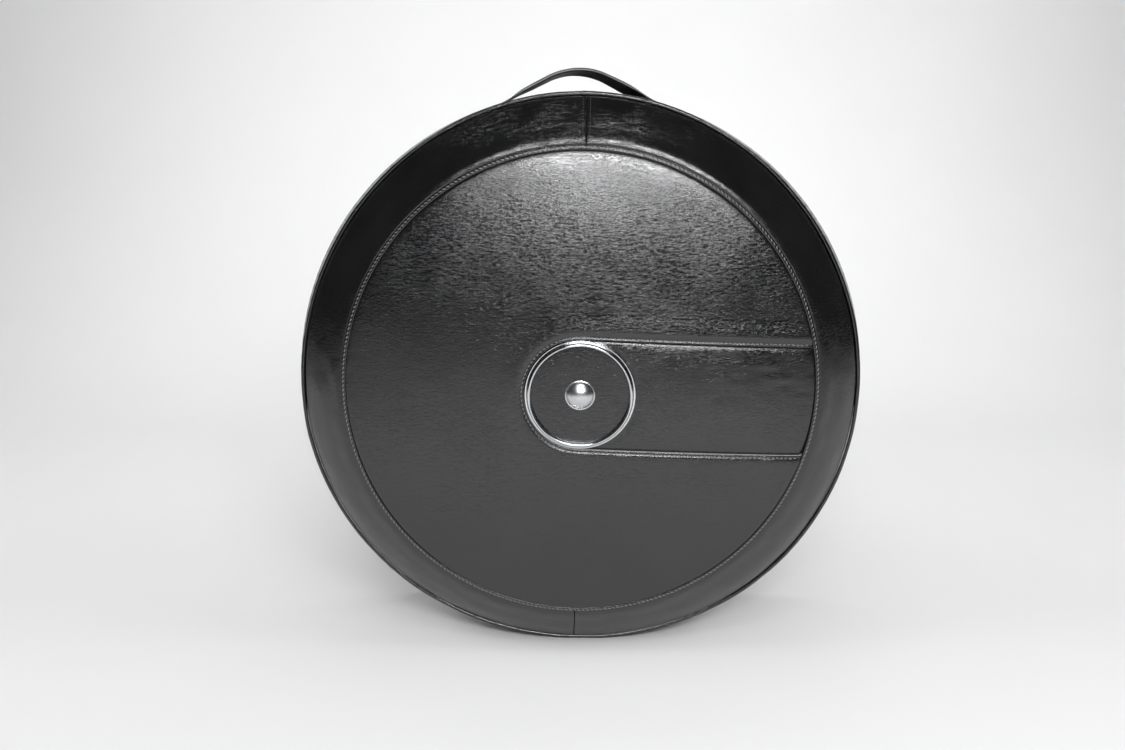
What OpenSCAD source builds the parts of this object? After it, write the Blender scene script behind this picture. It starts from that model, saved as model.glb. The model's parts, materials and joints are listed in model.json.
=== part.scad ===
// Spare tyre cover: a crowned leatherette front on a stiff board, a sloping
// shoulder, piping, a padded side wall, an elasticated rear edge, a carry
// handle over the top and a plain ring badge on the front.
// The front faces -Y and +Z is up. The origin is on the floor, under the
// middle of the cover's box.

/* [Shell] */
// Outer radius of the side wall
wall_r = 385; // [380:0.5:390]
// Width of the side wall, from the front seam to the rear seam
wall_w = 180; // [150:5:200]
// How far the floor presses the round side wall flat
floor_sag = 1.5; // [1:0.1:2]
// Radius of the seam between the front disc and the shoulder
disc_r = 312.5; // [306:0.5:316]
// Depth of the shoulder, from the disc seam back to the piping
shoulder_d = 57; // [52:1:66]
// Crown of the front disc above its seam
disc_crown = 20; // [14:1:24]
// Swell of the shoulder above a straight slope
shoulder_swell = 4; // [3:0.5:5]
// Angle that the shoulder's seams are turned clockwise on the cover
shoulder_turn = 1.2; // [0:0.1:2]

/* [Layers] */
// Thickness of the leatherette
skin_t = 1.2; // [1:0.1:1.3]
// Thickness of the foam behind the front disc
disc_foam_t = 6; // [5:0.5:7]
// Thickness of the foam in the shoulder and the side wall
wall_foam_t = 3.6; // [3:0.1:4]
// Thickness of the stiffening board
board_t = 2.6; // [2:0.1:3]
// Thickness of the fabric lining
lining_t = 0.8; // [0.6:0.1:0.9]

/* [Inset band] */
// Half the width of the inset band, also the radius of its round end
band_half = 74; // [74:0.5:78]
// How far the band lies below the front panel
band_recess = 3; // [2.5:0.1:3.2]
// How far the band and the badge sit below the middle of the disc
band_drop = 4.5; // [0:0.5:6]
// Angle that the band is turned clockwise on the cover
band_turn = 2.6; // [0:0.1:4]
// How far the band's panel runs on under the front panel
band_lap = 12; // [10:1:14]

/* [Piping and rear edge] */
// Radius of the piping
piping_r = 3; // [2.9:0.1:3.1]
// Radius of the centre line of the rear hem
hem_r = 298; // [280:1:310]
// Radius of the rear hem's tunnel
hem_tunnel_r = 6; // [5.8:0.1:7]
// How far the rear edge stands back from the rear seam
hem_back = 10; // [8:1:14]
// Radius of the elastic cord
elastic_r = 3; // [2.5:0.1:3]

/* [Handle] */
// Width of the strap
strap_w = 30; // [26:1:30]
// Thickness of the strap
strap_t = 4; // [3.8:0.1:4.2]
// Height of the strap's top above the side wall
strap_rise = 32; // [31:0.5:34]
// Slope of the strap's legs
leg_slope = 26; // [25:0.5:27]
// Radius of the strap's bend at the top
top_bend_r = 90; // [85:1:95]
// Half the span between the ends of the swinging part
swing_half = 85; // [82:1:88]
// Angle that the handle leans back at rest
lean_back = 16; // [0:1:20]
// Distance from the piping back to the middle of the strap
handle_back = 88; // [70:1:110]

/* [Badge] */
// Outer radius of the ring
ring_r = 73; // [71:0.5:73.5]
// Width of the ring
ring_w = 9; // [8:0.5:10]
// Height of the ring above the band
ring_h = 8.5; // [7:0.5:9]
// Radius of the plain dome in the ring
dome_r = 20; // [16:1:24]
// Height of the dome above the band
dome_h = 9.5; // [8:0.5:10]

/* [Hidden] */

$fn = 180;
// Segments of the very large circles, so that their short arcs stay smooth
fine = 1440;

// Clearance between neighbouring layers
gap = 0.2;
// Width of a folded-back seam edge
seam_fold = 10;
// Thickness of binding and reinforcing tape
tape_t = 0.5;
// Thickness of a sewing thread
thread_t = 0.8;
// Distance from a seam to its row of stitches
stitch_in = 5.5;
// Length of the seam edges that are turned inside
turn_in = 15;
// Width and depth of the binding folded over the disc seam's two edges
disc_binding_w = 5;
disc_binding_d = 4.5;

floor_z = wall_r - floor_sag;

// The front disc is part of a large ball
ball_r = (disc_r * disc_r + disc_crown * disc_crown) / (2 * disc_crown);
apex_z = shoulder_d + disc_crown;
ball_z = apex_z - ball_r;
function disc_z(r, t) = ball_z + sqrt(pow(ball_r - t, 2) - r * r);
// The layers behind the front panel stop this far inside the disc seam
core_inset_r = 3.2;
core_r = disc_r - core_inset_r;
// Depths below the front panel's surface at which each layer starts
foam_at = skin_t + gap;
board_at = foam_at + disc_foam_t + gap;
lining_at = board_at + board_t + gap;
plate_gap = 0.3;

// The shoulder's section is an arc through its two edges
shoulder_in = [disc_r + 2 * gap, shoulder_d + 2 * gap];
shoulder_out = [wall_r - 5.8, piping_r + 1.6];
shoulder_run = norm(shoulder_out - shoulder_in);
shoulder_dir = (shoulder_out - shoulder_in) / shoulder_run;
shoulder_up = [-shoulder_dir[1], shoulder_dir[0]];
shoulder_arc = (pow(shoulder_run / 2, 2) + pow(shoulder_swell, 2)) / (2 * shoulder_swell);
shoulder_mid = (shoulder_in + shoulder_out) / 2;
shoulder_c = shoulder_mid - shoulder_up * (shoulder_arc - shoulder_swell);
function shoulder_z(r, t) = shoulder_c[1] + sqrt(pow(shoulder_arc - t, 2) - pow(r - shoulder_c[0], 2));
shoulder_foam_t = wall_foam_t - 0.6;
shoulder_pad_r = wall_r - 15.5;

// The piping is a ring that just meets the floor, open where its ends join at the top
piping_top = wall_r + 0.5;
piping_at = (piping_top + floor_z) / 2 - piping_r;
piping_lift = (piping_top - floor_z) / 2;
piping_wall = 0.9;
piping_bore = piping_r - piping_wall;
join_gap = 0.06;

// Seam edges that are turned in behind the piping
edge_r = wall_r - 15;
edge_step = wall_r - 7.7;
shoulder_edge = wall_r - 9.5;
flange_t = 0.6;
binding_w = 3.6;

// Width of the side wall's edge that is turned in at the rear seam
rear_turn = 13;

hem_z = -wall_w - hem_back;
rear_flat_r = 345;
rear_gap = 0.2;
elastic_slot = 1;
ferrule_half = 11;

// The shell's middle is moved so that the whole cover is centred on Y
front_y = apex_z - band_recess + dome_h;
rear_y = wall_w + hem_back + hem_tunnel_r;
piping_y = (front_y - rear_y) / 2;

// The strap, seen from the front
strap_top = floor_z + wall_r + strap_rise;
bend_x = top_bend_r * sin(leg_slope);
bend_reach = top_bend_r * tan(leg_slope);
bend_z = strap_top - top_bend_r * (1 - cos(leg_slope));
function leg_top(x) = bend_z - (x - bend_x) * tan(leg_slope);
pivot_z = leg_top(swing_half) - strap_t / cos(leg_slope) / 2;
handle_y = piping_y + handle_back;
taper_from = 50;
taper_half = 6;
strap_skin = 1;
strap_gap = 0.1;
core_inset = 2;
// The legs run a little way into the bend, just inside its two faces
leg_lap = 1;
leg_trim = 0.02;
leg_reach = 120;
root_gap = 0.5;
root_meet = 102;
root_end = 122;
tab_in = 88;
tab_t = 1.4;
tab_lift = 0.3;
stub_at = tab_lift + tab_t + gap;
fold_r = (stub_at + strap_t - tab_lift) / 2;
box_half = 11;
patch_x = [84, 126];
patch_half = 22;
patch_t = 1;

// The badge's studs run through the front into the push nuts
stud_r = 2;
stud_hole = 2.3;
stud_at = ring_r - ring_w / 2;
ring_crown = 9;
plate_r = 81;
plate_t = 1.5;
plate_top = disc_z(plate_r + band_drop, lining_at + lining_t) - plate_gap;
nut_r = 6;
nut_t = 1.1;
nut_play = 0.05;
stud_tail = 1.5;
dome_base = 1.5;
dome_ball = (dome_r * dome_r + pow(dome_h - dome_base, 2)) / (2 * (dome_h - dome_base));

black = [0.07, 0.07, 0.075];
charcoal = [0.16, 0.16, 0.17];
foam_grey = [0.55, 0.56, 0.57];
chrome = [0.82, 0.83, 0.85];

// ---- Placing ----

// Children are drawn with the cover's axis along Z, its front up and its top towards +Y
module stood() {
    translate([0, piping_y, floor_z]) rotate([90, 0, 0]) children();
}

module turned(angle) {
    rotate([0, 0, -angle]) children();
}

module half(side, from = 0.1) {
    intersection() {
        children();
        translate([side > 0 ? from : -2 * wall_r, -2 * wall_r, -2 * wall_r])
            cube([2 * wall_r - from, 4 * wall_r, 4 * wall_r]);
    }
}

// ---- Layers ----

module flat_disc(r) {
    intersection() {
        circle(r);
        translate([-r, floor_sag - r]) square([2 * r, 2 * r]);
    }
}

module wall_ring(r_out, r_in, z0, z1) {
    translate([0, 0, z0]) linear_extrude(z1 - z0) difference() {
        flat_disc(r_out);
        flat_disc(r_in);
    }
}

module disc_layer(t0, t1, r) {
    rotate_extrude() intersection() {
        translate([0, ball_z]) difference() {
            circle(ball_r - t0, $fn = fine);
            circle(ball_r - t1, $fn = fine);
        }
        square([r, apex_z + 10]);
    }
}

module shoulder_band(t0, t1, r0, r1) {
    intersection() {
        translate(shoulder_c) difference() {
            circle(shoulder_arc - t0, $fn = 720);
            circle(shoulder_arc - t1, $fn = 720);
        }
        translate([r0, piping_r + gap]) square([r1 - r0, shoulder_d + 10]);
    }
}

module band_outline(half_w) {
    translate([0, -band_drop]) circle(half_w);
    translate([0, -band_drop - half_w]) square([disc_r + 20, 2 * half_w]);
}

module band_prism(half_w) {
    linear_extrude(apex_z + 20) band_outline(half_w);
}

module stud_places() {
    translate([0, -band_drop, 0]) {
        children();
        for (a = [45 : 90 : 315]) rotate([0, 0, a]) translate([stud_at, 0, 0]) children();
    }
}

module stud_holes() {
    stud_places() cylinder(h = apex_z + 10, r = stud_hole, $fn = 48);
}

// ---- Front disc ----

module face_panel() {
    color(black) stood() turned(band_turn) difference() {
        union() {
            disc_layer(0, skin_t, disc_r - 1);
            rotate_extrude() translate([disc_r - 1 - skin_t, shoulder_d - turn_in])
                square([skin_t, disc_z(disc_r - 1, 0) - shoulder_d + turn_in - gap]);
        }
        band_prism(band_half);
    }
}

module inset_panel() {
    color(black) stood() turned(band_turn) difference() {
        intersection() {
            disc_layer(band_recess, band_recess + skin_t, core_r);
            band_prism(band_half + band_lap);
        }
        stud_holes();
    }
}

module face_foam() {
    color(foam_grey) stood() turned(band_turn) difference() {
        disc_layer(foam_at, foam_at + disc_foam_t, core_r);
        band_prism(band_half + band_lap + gap);
    }
}

module inset_foam() {
    color(foam_grey) stood() turned(band_turn) difference() {
        intersection() {
            disc_layer(band_recess + skin_t + gap, foam_at + disc_foam_t, core_r);
            band_prism(band_half + band_lap);
        }
        stud_holes();
    }
}

module stiffener_board() {
    color(charcoal) stood() turned(band_turn) difference() {
        disc_layer(board_at, board_at + board_t, core_r);
        stud_holes();
    }
}

module face_lining() {
    color(charcoal) stood() turned(band_turn) difference() {
        disc_layer(lining_at, lining_at + lining_t, core_r);
        stud_holes();
    }
}

module disc_seam_binding() {
    low = shoulder_d - turn_in - gap;
    color(charcoal) stood() rotate_extrude() difference() {
        translate([core_r + tape_t, low - tape_t]) square([disc_binding_w, disc_binding_d]);
        translate([core_r + 2 * tape_t - gap, low])
            square([disc_binding_w - 2 * tape_t + 2 * gap, 2 * disc_binding_d]);
    }
}

module disc_seam_thread() {
    r = disc_r + 3;
    up = [r, shoulder_z(r, 0)] - shoulder_c;
    at = shoulder_c + up * (1 + thread_t / norm(up));
    color(foam_grey) stood() rotate_extrude() translate(at) circle(thread_t / 2, $fn = 24);
}

module inset_seam_thread() {
    color(foam_grey) stood() turned(band_turn) intersection() {
        disc_layer(-gap / 2 - thread_t, -gap / 2, disc_r - 2);
        difference() {
            band_prism(band_half + 4 + thread_t);
            translate([0, 0, -1]) band_prism(band_half + 4);
        }
        translate([-disc_r, -disc_r, 0]) cube([2 * disc_r - 12, 2 * disc_r, 2 * disc_r]);
    }
}

// ---- Shoulder ----

module shoulder_section() {
    shoulder_band(0, skin_t, shoulder_in[0], shoulder_out[0]);
    translate([shoulder_in[0], shoulder_d - turn_in]) square([skin_t, turn_in - gap]);
    translate([shoulder_edge - skin_t, flange_t + gap])
        square([skin_t, shoulder_z(shoulder_edge, skin_t) + 0.6 - flange_t - gap]);
    translate([edge_r, flange_t + gap]) square([shoulder_edge - edge_r, skin_t]);
}

module shoulder_skin(side) {
    color(black) stood() turned(shoulder_turn) {
        half(side) rotate_extrude() shoulder_section();
        half(side) intersection() {
            rotate_extrude() shoulder_band(0, 2 * skin_t, disc_r + 3, shoulder_edge);
            translate([-seam_fold, -wall_r, 0]) cube([2 * seam_fold, 2 * wall_r, 2 * shoulder_d]);
        }
    }
}

module shoulder_foam(side) {
    at = skin_t + gap;
    color(foam_grey) stood() turned(shoulder_turn) half(side, seam_fold + 2 * gap)
        rotate_extrude() shoulder_band(at, at + shoulder_foam_t, disc_r + 2.4, shoulder_pad_r);
}

module shoulder_left() {
    shoulder_skin(-1);
}

module shoulder_right() {
    shoulder_skin(1);
}

module shoulder_foam_left() {
    shoulder_foam(-1);
}

module shoulder_foam_right() {
    shoulder_foam(1);
}

module shoulder_lining() {
    at = skin_t + shoulder_foam_t + 2 * gap;
    color(charcoal) stood()
        rotate_extrude() shoulder_band(at, at + lining_t, disc_r + 2.4, shoulder_pad_r);
}

module shoulder_tape(side) {
    at = 2 * skin_t + gap;
    color(charcoal) stood() turned(shoulder_turn) intersection() {
        rotate_extrude() shoulder_band(at, at + tape_t, disc_r + 4, shoulder_pad_r);
        translate([-seam_fold, side > 0 ? 0 : -wall_r, 0]) cube([2 * seam_fold, wall_r, 2 * shoulder_d]);
    }
}

module shoulder_tape_top() {
    shoulder_tape(1);
}

module shoulder_tape_bottom() {
    shoulder_tape(-1);
}

module shoulder_seam_threads() {
    color(foam_grey) stood() turned(shoulder_turn) intersection() {
        rotate_extrude() shoulder_band(-gap / 2 - thread_t, -gap / 2, disc_r + 6, shoulder_out[0] - 1);
        for (side = [-1, 1]) translate([side * stitch_in - thread_t / 2, -wall_r, 0])
            cube([thread_t, 2 * wall_r, 2 * shoulder_d]);
    }
}

// ---- Piping and front seam ----

module piping_ring(r) {
    translate([0, piping_lift, 0]) rotate([0, 0, 90 + join_gap])
        rotate_extrude(angle = 360 - 2 * join_gap) translate([piping_at, 0]) circle(r, $fn = 48);
}

module piping_cover() {
    color(black) stood() difference() {
        union() {
            piping_ring(piping_r);
            translate([0, 0, -flange_t]) linear_extrude(2 * flange_t) difference() {
                translate([0, piping_lift]) circle(piping_at - piping_bore + gap / 2);
                flat_disc(edge_r);
            }
        }
        piping_ring(piping_bore);
    }
}

module piping_cord() {
    color(foam_grey) stood() piping_ring(piping_bore - gap / 2);
}

module front_seam_binding() {
    out = edge_r - gap;
    in = out - 2 * tape_t;
    top = flange_t + skin_t + 2 * gap;
    color(charcoal) stood() {
        wall_ring(out + binding_w, in, top, top + tape_t);
        wall_ring(out + binding_w, in, -top - tape_t, -top);
        wall_ring(out, in, -top - tape_t, top + tape_t);
    }
}

// ---- Side wall ----

module wall_skin(side) {
    front = -piping_r - gap;
    color(black) stood() {
        half(side) {
            wall_ring(wall_r, wall_r - skin_t, -wall_w, front);
            wall_ring(wall_r, edge_step - skin_t, front - skin_t, front);
            wall_ring(edge_step, edge_step - skin_t, front - skin_t, -flange_t - gap);
            wall_ring(edge_step, edge_r, -flange_t - gap - skin_t, -flange_t - gap);
            wall_ring(wall_r, wall_r - rear_turn, -wall_w, skin_t - wall_w);
        }
        half(side) intersection() {
            wall_ring(wall_r, wall_r - 2 * skin_t, -wall_w, front);
            translate([-seam_fold, -wall_r, -wall_w]) cube([2 * seam_fold, 2 * wall_r, wall_w]);
        }
    }
}

module wall_layer(t0, t1) {
    wall_ring(wall_r - t0, wall_r - t1, skin_t + gap - wall_w, -piping_r - skin_t - 2 * gap);
}

module wall_foam(side) {
    color(foam_grey) stood() half(side, seam_fold + 2 * gap)
        wall_layer(skin_t + gap, skin_t + gap + wall_foam_t);
}

module wall_left() {
    wall_skin(-1);
}

module wall_right() {
    wall_skin(1);
}

module wall_foam_left() {
    wall_foam(-1);
}

module wall_foam_right() {
    wall_foam(1);
}

module wall_lining() {
    at = skin_t + wall_foam_t + 2 * gap;
    color(charcoal) stood() wall_layer(at, at + lining_t);
}

module wall_tape(side) {
    color(charcoal) stood() intersection() {
        wall_layer(2 * skin_t + gap, 2 * skin_t + gap + tape_t);
        translate([-seam_fold, side > 0 ? 0 : -wall_r, -wall_w]) cube([2 * seam_fold, wall_r, wall_w]);
    }
}

module wall_tape_top() {
    wall_tape(1);
}

module wall_tape_bottom() {
    wall_tape(-1);
}

// ---- Rear edge ----

module rear_panel(side) {
    top = -wall_w - rear_gap;
    hem_wall = hem_tunnel_r - skin_t;
    slope_end = hem_r + hem_tunnel_r - skin_t / 2;
    color(black) stood() half(side) {
        wall_ring(wall_r, rear_flat_r, top - skin_t, top);
        rotate_extrude() polygon([
            [rear_flat_r + 2, top], [rear_flat_r + 2, top - skin_t],
            [slope_end, hem_z - skin_t / 2], [slope_end, hem_z + skin_t / 2]
        ]);
        rotate([0, 0, elastic_slot - 90]) rotate_extrude(angle = 360 - 2 * elastic_slot)
            translate([hem_r, hem_z]) difference() {
                circle(hem_tunnel_r, $fn = 48);
                circle(hem_wall, $fn = 48);
            }
    }
}

module rear_panel_left() {
    rear_panel(-1);
}

module rear_panel_right() {
    rear_panel(1);
}

module rear_seam_thread() {
    low = -wall_w - rear_gap - skin_t - gap / 2;
    at = wall_r - stitch_in;
    color(foam_grey) stood() wall_ring(at, at - thread_t, low - thread_t / 2, low);
}

module hem_elastic() {
    color(charcoal) stood() translate([0, 0, hem_z]) rotate_extrude() translate([hem_r, 0])
        circle(elastic_r, $fn = 48);
}

module elastic_ferrule() {
    color(chrome) stood() translate([-ferrule_half, -hem_r, hem_z]) rotate([0, 90, 0]) difference() {
        cylinder(h = 2 * ferrule_half, r = elastic_r + 1.4, $fn = 48);
        translate([0, 0, -1]) cylinder(h = 2 * ferrule_half + 2, r = elastic_r + 0.4, $fn = 48);
    }
}

// ---- Handle ----

// Part of the strap between two depths below its top surface, seen from the front
module strap_outline(d0, d1) {
    translate([0, strap_top - top_bend_r]) intersection() {
        difference() {
            circle(top_bend_r - d0);
            circle(top_bend_r - d1);
        }
        polygon([[0, 0], [bend_reach, top_bend_r], [-bend_reach, top_bend_r]]);
    }
    for (side = [0, 1]) mirror([side, 0]) intersection() {
        translate([bend_x, bend_z]) rotate(-leg_slope) translate([-leg_lap, leg_trim - d1])
            square([leg_reach, d1 - d0 - 2 * leg_trim]);
        square([swing_half, strap_top]);
    }
}

module swinging(d0, d1, inset = 0) {
    wide = strap_w / 2 - inset;
    narrow = taper_half - inset;
    translate([0, handle_y, pivot_z]) rotate([-lean_back, 0, 0]) translate([0, 0, -pivot_z])
        intersection() {
            rotate([90, 0, 0]) linear_extrude(2 * wide, center = true) strap_outline(d0, d1);
            linear_extrude(strap_top + 1) polygon([
                [-swing_half, -narrow], [-taper_from, -wide], [taper_from, -wide], [swing_half, -narrow],
                [swing_half, narrow], [taper_from, wide], [-taper_from, wide], [-swing_half, narrow]
            ]);
        }
}

module handle_strap() {
    color(black) swinging(0, strap_skin);
}

module handle_core() {
    color(charcoal) swinging(strap_skin + strap_gap, strap_t - strap_skin - strap_gap, core_inset);
}

module handle_underside() {
    color(black) swinging(strap_t - strap_skin, strap_t);
}

module shell_sector(t0, t1, x0, x1) {
    intersection() {
        difference() {
            circle(wall_r + t1);
            circle(wall_r + t0);
        }
        translate([x0, 0]) square([x1 - x0, 2 * wall_r]);
    }
}

module handle_root(side) {
    tilt = asin(root_end / (wall_r + tab_lift + fold_r));
    color(black) translate([0, handle_y, 0]) rotate([90, 0, 0])
        linear_extrude(strap_w, center = true) mirror([side > 0 ? 0 : 1, 0]) {
            translate([0, floor_z]) {
                shell_sector(tab_lift, tab_lift + tab_t, tab_in, root_end);
                shell_sector(stub_at, stub_at + strap_t, root_meet, root_end);
                rotate(-tilt) translate([0, wall_r + tab_lift + fold_r]) circle(fold_r, $fn = 48);
            }
            intersection() {
                translate([bend_x, bend_z]) rotate(-leg_slope) translate([0, -strap_t])
                    square([leg_reach, strap_t]);
                translate([swing_half + root_gap, 0]) square([root_meet + 1 - swing_half, 2 * strap_top]);
            }
        }
}

module handle_root_left() {
    handle_root(-1);
}

module handle_root_right() {
    handle_root(1);
}

module handle_threads() {
    low = stub_at + strap_t + gap / 2;
    color(foam_grey) translate([0, handle_y, 0]) for (side = [0, 1]) mirror([side, 0, 0]) difference() {
        rotate([90, 0, 0]) linear_extrude(2 * box_half, center = true) translate([0, floor_z])
            shell_sector(low, low + thread_t / 2, root_meet + 3, root_end - 3);
        translate([root_meet + 3 + thread_t, thread_t - box_half, 0])
            cube([root_end - root_meet - 6 - 2 * thread_t, 2 * (box_half - thread_t), 2 * strap_top]);
    }
}

module handle_patch(side) {
    at = skin_t + wall_foam_t + lining_t + 3 * gap;
    color(black) stood() mirror([side > 0 ? 0 : 1, 0, 0]) intersection() {
        wall_ring(wall_r - at, wall_r - at - patch_t, -handle_back - patch_half, patch_half - handle_back);
        translate([patch_x[0], 0, -2 * wall_w]) cube([patch_x[1] - patch_x[0], wall_r, 2 * wall_w]);
    }
}

module handle_patch_left() {
    handle_patch(-1);
}

module handle_patch_right() {
    handle_patch(1);
}

// ---- Badge ----

module stud(top) {
    low = plate_top - plate_t - nut_t - stud_tail;
    translate([0, 0, low]) cylinder(h = top - low, r = stud_r, $fn = 48);
}

module badge_ring() {
    seat = disc_z(ring_r - ring_w - band_drop, band_recess) + gap / 2;
    color(chrome) stood() turned(band_turn) translate([0, -band_drop, 0]) {
        rotate_extrude() intersection() {
            translate([ring_r - ring_w, seat]) square([ring_w, ring_h]);
            translate([stud_at, seat + ring_h - ring_crown]) circle(ring_crown);
        }
        for (a = [45 : 90 : 315]) rotate([0, 0, a]) translate([stud_at, 0, 0]) stud(seat + ring_h / 2);
    }
}

module badge_dome() {
    seat = apex_z - band_recess + gap / 2;
    color(chrome) stood() turned(band_turn) translate([0, -band_drop, 0]) {
        rotate_extrude() {
            translate([0, seat]) square([dome_r, dome_base]);
            intersection() {
                translate([0, seat + dome_h - gap / 2 - dome_ball]) circle(dome_ball, $fn = 360);
                translate([0, seat + dome_base - 0.1]) square([dome_r, dome_h]);
            }
        }
        stud(seat + 1);
    }
}

module badge_backing_plate() {
    color(charcoal) stood() turned(band_turn) difference() {
        translate([0, -band_drop, plate_top - plate_t]) cylinder(h = plate_t, r = plate_r);
        stud_holes();
    }
}

module badge_push_nuts() {
    nut_z = plate_top - plate_t - gap / 2 - nut_t;
    color(chrome) stood() turned(band_turn) stud_places() translate([0, 0, nut_z]) difference() {
        cylinder(h = nut_t, r = nut_r, $fn = 48);
        translate([0, 0, -1]) cylinder(h = nut_t + 2, r = stud_r + nut_play, $fn = 48);
    }
}

face_panel();
inset_panel();
face_foam();
inset_foam();
stiffener_board();
face_lining();
disc_seam_binding();
disc_seam_thread();
inset_seam_thread();
shoulder_left();
shoulder_right();
shoulder_foam_left();
shoulder_foam_right();
shoulder_lining();
shoulder_tape_top();
shoulder_tape_bottom();
shoulder_seam_threads();
piping_cover();
piping_cord();
front_seam_binding();
wall_left();
wall_right();
wall_foam_left();
wall_foam_right();
wall_lining();
wall_tape_top();
wall_tape_bottom();
rear_panel_left();
rear_panel_right();
rear_seam_thread();
hem_elastic();
elastic_ferrule();
handle_strap();
handle_core();
handle_underside();
handle_root_left();
handle_root_right();
handle_threads();
handle_patch_left();
handle_patch_right();
badge_ring();
badge_dome();
badge_backing_plate();
badge_push_nuts();
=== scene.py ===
"""The looks of a soft spare tyre cover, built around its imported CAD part.

Shape functions work in millimetres in the cover's own frame: x to the right, y up, both from the
cover's axis, and z out of the front from the piping's plane. world() turns that into the row frame.
"""

import json
import math

import bmesh
import bpy
import numpy as np
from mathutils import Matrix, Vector

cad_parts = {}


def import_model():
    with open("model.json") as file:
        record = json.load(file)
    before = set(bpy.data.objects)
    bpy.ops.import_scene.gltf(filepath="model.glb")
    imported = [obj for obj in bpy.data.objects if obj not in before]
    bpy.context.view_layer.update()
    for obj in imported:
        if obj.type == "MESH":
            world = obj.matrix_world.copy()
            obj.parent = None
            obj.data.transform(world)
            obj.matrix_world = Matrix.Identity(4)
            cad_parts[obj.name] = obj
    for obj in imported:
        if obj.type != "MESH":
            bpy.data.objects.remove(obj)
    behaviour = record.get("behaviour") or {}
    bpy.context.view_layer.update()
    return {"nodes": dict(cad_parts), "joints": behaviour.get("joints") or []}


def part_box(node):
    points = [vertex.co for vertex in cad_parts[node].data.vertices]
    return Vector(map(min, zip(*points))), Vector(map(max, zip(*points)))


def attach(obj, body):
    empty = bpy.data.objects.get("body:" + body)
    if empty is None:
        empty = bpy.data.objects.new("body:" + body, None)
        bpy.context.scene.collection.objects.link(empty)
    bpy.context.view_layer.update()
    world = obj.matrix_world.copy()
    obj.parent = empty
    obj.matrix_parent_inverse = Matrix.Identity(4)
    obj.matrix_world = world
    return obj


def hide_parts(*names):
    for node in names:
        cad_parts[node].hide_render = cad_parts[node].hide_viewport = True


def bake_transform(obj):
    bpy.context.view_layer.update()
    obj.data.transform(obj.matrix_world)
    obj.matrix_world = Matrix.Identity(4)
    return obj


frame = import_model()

MM = 0.001
TURN = 2 * math.pi
RNG_SEED = 7

# ---- Places and sizes, from the CAD frame and the part's driving dimensions ----

wall_low, wall_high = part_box("wall_left")
piping_low, piping_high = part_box("piping_cover")
PIPING_Y = (piping_low.y + piping_high.y) / 2
WALL_R = -wall_low.x / MM
CENTRE_Z = wall_high.z - WALL_R * MM
FLOOR = -CENTRE_Z / MM
UNDERSIDE = FLOOR + 0.15
WALL_W = (wall_high.y - PIPING_Y) / MM
HANDLE = next(j for j in frame["joints"] if j["name"] == "handle_swing")
HANDLE_Y = HANDLE["pos_m"][1] / MM
HANDLE_Z = PIPING_Y / MM - HANDLE_Y
PIVOT_Z = HANDLE["pos_m"][2] / MM

DISC_R = 312.5
DISC_CROWN = 20.0
SHOULDER_D = 57.0
SHOULDER_MID_R = 346.0
SHOULDER_TURN = math.radians(1.2)
SKIN = 1.2
UNDER_SKIN = SKIN + 0.2
DISC_FOAM = 6.0
WALL_FOAM = 3.6
PAD_GAP = 11.0
BOARD_T = 2.6
BAND_HALF = 74.0
BAND_RECESS = 3.0
BAND_DROP = 4.5
BAND_UNDER = 5.0
BAND_TURN = math.radians(2.6)
PIPING_R = 3.0
HEM_R = 298.0
HEM_Z = -190.0
HEM_TUBE = 6.0
REAR_DEPTH = 80.0
FOLDS = 64

# the sewing: how far rows of stitches lie from their seams, and how far a skin's edges turn in
STITCH_PITCH = 6.0
JOIN_PITCH = 5.0
STITCH_S = 3.2
FOLD_AT = 6.6
BAND_STITCH = 3.4
JOIN_ROW = 4.6
REAR_STITCH = 5.5
DISC_ALLOWANCE = 5.0
SHOULDER_ALLOWANCE = 6.4
WALL_ALLOWANCE = 3.4

STRAP_W = 30.0
STRAP_T = 5.0
STRAP_TOP = 800.5
LEG_SLOPE = math.radians(27.5)
BEND_R = 87.0
BEND_X = BEND_R * math.sin(LEG_SLOPE)
LEAN = math.radians(16)
ROOT_END = 121.0
ROOT_T = 2.4
TAB_T = 1.2
BACKING_T = 0.9

SIDES = ((-1, "left"), (1, "right"))
TOP, BOTTOM = math.pi / 2, -math.pi / 2
FRONT_WAY = (0.0, -1.0, 0.0)

# the front is part of a ball
BALL_R = (DISC_R**2 + DISC_CROWN**2) / (2 * DISC_CROWN)
BALL_Z = SHOULDER_D + DISC_CROWN - BALL_R

# the shoulder's section is a shallow arc from the disc seam to the piping
SHOULDER_IN = np.array([DISC_R + 0.4, SHOULDER_D + 0.4])
SHOULDER_OUT = np.array([WALL_R - 5.8, 4.6])
SHOULDER_SWELL = 4.0
SHOULDER_RUN = float(np.linalg.norm(SHOULDER_OUT - SHOULDER_IN))
SHOULDER_ARC = ((SHOULDER_RUN / 2) ** 2 + SHOULDER_SWELL**2) / (2 * SHOULDER_SWELL)
SHOULDER_DIR = (SHOULDER_OUT - SHOULDER_IN) / SHOULDER_RUN
SHOULDER_UP = np.array([-SHOULDER_DIR[1], SHOULDER_DIR[0]])
SHOULDER_C = (SHOULDER_IN + SHOULDER_OUT) / 2 - SHOULDER_UP * (SHOULDER_ARC - SHOULDER_SWELL)
SHOULDER_HALF = math.asin(SHOULDER_RUN / 2 / SHOULDER_ARC)
SHOULDER_LENGTH = 2 * SHOULDER_ARC * SHOULDER_HALF


def world(x, y, z):
    """The cover's frame in millimetres to the row frame in metres."""
    x, y, z = np.broadcast_arrays(x, y, z)
    return np.stack([x * MM, PIPING_Y - z * MM, CENTRE_Z + y * MM], axis=-1)


def turned(x, y, angle):
    """Turned clockwise on the cover: the shoulder's seams and the band each sit a little askew."""
    c, s = math.cos(angle), math.sin(angle)
    return x * c + y * s, y * c - x * s


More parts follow.
